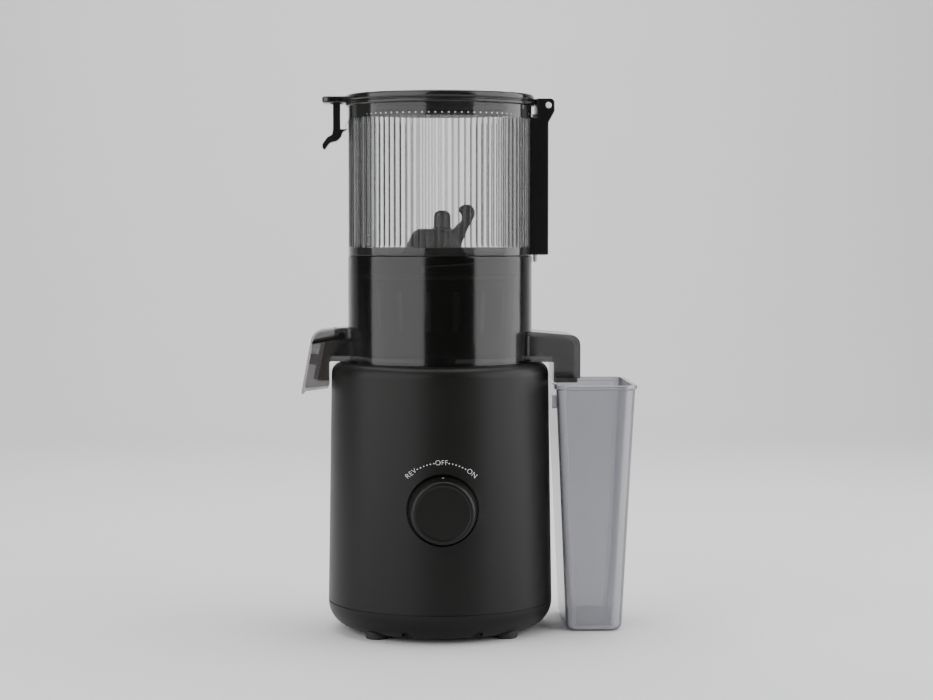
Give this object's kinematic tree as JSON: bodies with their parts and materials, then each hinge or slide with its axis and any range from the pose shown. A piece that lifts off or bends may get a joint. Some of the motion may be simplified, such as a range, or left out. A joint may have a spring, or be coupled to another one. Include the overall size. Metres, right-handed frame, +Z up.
{
  "type": "cold press juicer",
  "caption": "Upright slow juicer: round motor base with knob, clear bowl with spouts, fluted hopper with hinged latching lid, pulp container.",
  "frame": {"origin": "middle of the ground rectangle that the whole machine covers, container included", "axes": "+Z up along the drive axis, -Y towards the user and the knob, +X towards the pulp container"},
  "size_m": [0.2659, 0.1992, 0.4256],
  "materials": {
    "matte_black": "fine matte grain",
    "black_satin": "satin",
    "black_rubber": "matt",
    "post_black": "gloss",
    "steel": "turned",
    "zinc_steel": "plated",
    "bronze": "sintered",
    "copper": "enamelled",
    "ferrite": "pressed",
    "grey_nylon": "moulded",
    "white_acetal": "moulded",
    "board_green": "lacquered",
    "relay_blue": "moulded",
    "pale_mark": "printed",
    "smoky_clear": "clear, dark tint",
    "fluted_clear": "clear, fluted",
    "lid_smoke": "clear, dark tint",
    "spout_smoke": "clear, warm grey tint",
    "container_clear": "clear, light tint",
    "strainer_black": "moulded",
    "auger_black": "moulded",
    "grey_silicone": "soft"
  },
  "bodies": {
    "base": {"base_housing": "matte_black", "bottom_cover": "matte_black", "rubber_feet": "black_rubber", "cover_screws": "steel", "deck_seal": "black_rubber", "rotary_switch": "black_satin", "switch_nut": "steel", "gearbox_housing": "grey_nylon", "gearbox_cover": "grey_nylon", "gearbox_screws": "steel", "output_bearing": "steel", "gear_bushes": "bronze", "motor_can": "zinc_steel", "motor_end_cap": "zinc_steel", "motor_magnets": "ferrite", "motor_bearings": "steel", "carbon_brushes": "ferrite", "motor_screws": "steel", "circuit_board": "board_green", "board_screws": "steel", "capacitor": "black_satin", "relay": "relay_blue", "cable_inlet_bush": "black_rubber", "reed_switch": "black_satin"},
    "knob": {"control_knob": "black_satin", "knob_pointer": "pale_mark", "switch_spindle": "steel"},
    "output_drive": {"output_shaft": "steel", "output_wheel": "steel"},
    "layshaft_set": {"layshaft": "steel", "layshaft_wheel": "white_acetal", "layshaft_pinion": "steel"},
    "motor_rotor": {"motor_shaft": "steel", "motor_pinion": "steel", "armature": "zinc_steel", "armature_windings": "copper", "commutator": "copper", "cooling_fan": "black_satin"},
    "bowl": {"juicing_bowl": "smoky_clear", "bowl_magnet": "ferrite", "bowl_shaft_seal": "grey_silicone", "cap_pins": "steel", "strainer_frame": "strainer_black", "strainer_screen": "steel"},
    "auger": {"auger": "auger_black", "auger_drive_socket": "steel"},
    "hopper": {"hopper": "fluted_clear", "hopper_gasket": "grey_silicone", "hinge_post": "post_black", "lid_hinge_pin": "steel", "interlock_spring": "steel"},
    "interlock_rod": {"interlock_rod": "white_acetal"},
    "lid": {"lid": "lid_smoke", "lid_gasket": "grey_silicone", "latch_pin": "steel"},
    "latch": {"lid_latch": "post_black"},
    "spout_cap": {"spout_cap": "spout_smoke", "spout_cap_seal": "grey_silicone"},
    "pulp_container": {"pulp_container": "container_clear"}
  },
  "joints": [
    {"name": "knob_turn", "type": "hinge", "parent": "base", "child": "knob", "pos_m": [-0.02225, -0.0876, 0.1047], "axis": [0, 1, 0], "range_deg": [-40, 40]},
    {"name": "layshaft_spin", "type": "hinge", "parent": "base", "child": "layshaft_set", "pos_m": [-0.02225, 0.0434, 0.18], "axis": [0, 0, 1], "continuous": true},
    {"name": "output_spin", "type": "hinge", "parent": "base", "child": "output_drive", "pos_m": [-0.02225, 0.0074, 0.2], "axis": [0, 0, 1], "continuous": true},
    {"name": "rotor_spin", "type": "hinge", "parent": "base", "child": "motor_rotor", "pos_m": [-0.02225, 0.0074, 0.11], "axis": [0, 0, 1], "continuous": true},
    {"name": "bowl_lift", "type": "slide", "parent": "base", "child": "bowl", "axis": [0, 0, 1], "range_m": [0, 0.08]},
    {"name": "auger_spin", "type": "hinge", "parent": "bowl", "child": "auger", "pos_m": [-0.02225, 0.0074, 0.24], "axis": [0, 0, 1], "continuous": true},
    {"name": "hopper_twist", "type": "hinge", "parent": "bowl", "child": "hopper", "pos_m": [-0.02225, 0.0074, 0.2988], "axis": [0, 0, 1], "range_deg": [-34, 0]},
    {"name": "lid_open", "type": "hinge", "parent": "hopper", "child": "lid", "pos_m": [0.06315, 0.0074, 0.4174], "axis": [0, 1, 0], "range_deg": [0, 105]},
    {"name": "interlock_slide", "type": "slide", "parent": "hopper", "child": "interlock_rod", "axis": [0, 0, 1], "range_m": [0, 0.003], "deforming": ["interlock_spring"]},
    {"name": "latch_swing", "type": "hinge", "parent": "lid", "child": "latch", "pos_m": [-0.10425, 0.0074, 0.4216], "axis": [0, 1, 0], "range_deg": [0, 30]},
    {"name": "spout_cap_open", "type": "hinge", "parent": "bowl", "child": "spout_cap", "pos_m": [-0.10115, 0.0074, 0.2344], "axis": [0, 1, 0], "range_deg": [0, 65]},
    {"name": "container_slide", "type": "slide", "parent": "base", "child": "pulp_container", "axis": [1, 0, 0], "range_m": [0, 0.12]}
  ],
  "couplings": [
    {"joint": "output_spin", "follows": "layshaft_spin", "ratio": -0.25},
    {"joint": "auger_spin", "follows": "layshaft_spin", "ratio": -0.25},
    {"joint": "rotor_spin", "follows": "layshaft_spin", "ratio": -5.4286},
    {"joint": "interlock_slide", "follows": "lid_open", "m_per_rad": 0.001637}
  ]
}
